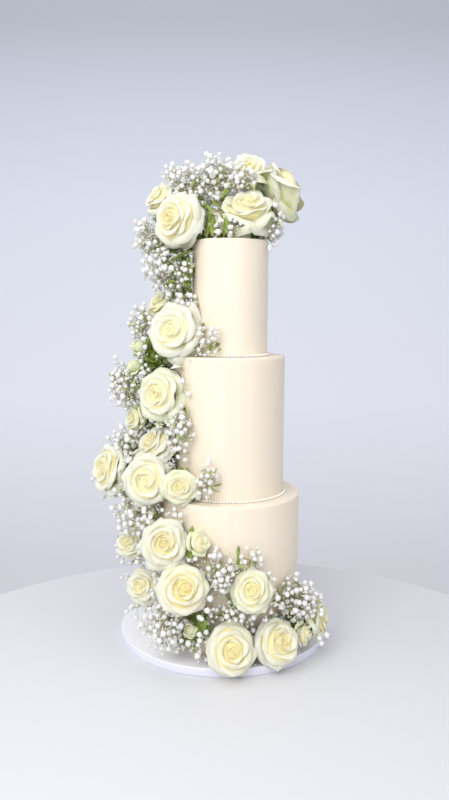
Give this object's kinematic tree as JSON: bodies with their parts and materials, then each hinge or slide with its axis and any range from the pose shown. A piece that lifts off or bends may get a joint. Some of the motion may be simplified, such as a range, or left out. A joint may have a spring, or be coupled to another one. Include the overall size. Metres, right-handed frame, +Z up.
{
  "type": "tiered wedding cake",
  "caption": "Three tall round iced tiers on a covered board, with pearl borders and a cascade of cream roses and baby's breath down one side and round the foot.",
  "frame": {"origin": "on the tiers' vertical axis, at the underside of the board", "axes": "+Z up, the cake's front faces -Y, the flower cascade runs down the -X side"},
  "size_m": [0.3359, 0.3288, 0.6974],
  "materials": {
    "icing": "satin",
    "pearl": "pearly",
    "petals": "soft petal",
    "florets": "matte petal",
    "foliage": "satin leaf",
    "board_cover": "satin wrapped"
  },
  "bodies": {
    "root": {"babys_breath_01": "florets", "babys_breath_02": "florets", "babys_breath_03": "florets", "babys_breath_04": "florets", "babys_breath_05": "florets", "babys_breath_06": "florets", "babys_breath_07": "florets", "babys_breath_08": "florets", "babys_breath_09": "florets", "babys_breath_10": "florets", "babys_breath_11": "florets", "babys_breath_12": "florets", "babys_breath_13": "florets", "babys_breath_14": "florets", "babys_breath_15": "florets", "babys_breath_16": "florets", "babys_breath_17": "florets", "babys_breath_18": "florets", "babys_breath_19": "florets", "babys_breath_20": "florets", "cake_board": "board_cover", "leaf_1": "foliage", "leaf_2": "foliage", "leaf_3": "foliage", "leaf_4": "foliage", "leaf_5": "foliage", "pearl_border_bottom": "pearl", "pearl_border_middle": "pearl", "pearl_border_top": "pearl", "rose_bud_09": "petals", "rose_bud_10": "petals", "rose_bud_23": "petals", "rose_half_02": "petals", "rose_half_03": "petals", "rose_half_06": "petals", "rose_half_07": "petals", "rose_half_11": "petals", "rose_half_13": "petals", "rose_half_19": "petals", "rose_half_20": "petals", "rose_half_27": "petals", "rose_open_01": "petals", "rose_open_04": "petals", "rose_open_05": "petals", "rose_open_08": "petals", "rose_open_12": "petals", "rose_open_14": "petals", "rose_open_15": "petals", "rose_open_16": "petals", "rose_open_17": "petals", "rose_open_18": "petals", "rose_open_21": "petals", "rose_open_22": "petals", "rose_open_24": "petals", "rose_open_25": "petals", "rose_open_26": "petals", "rose_open_28": "petals", "tier_bottom": "icing", "tier_middle": "icing", "tier_top": "icing"}
  },
  "joints": []
}
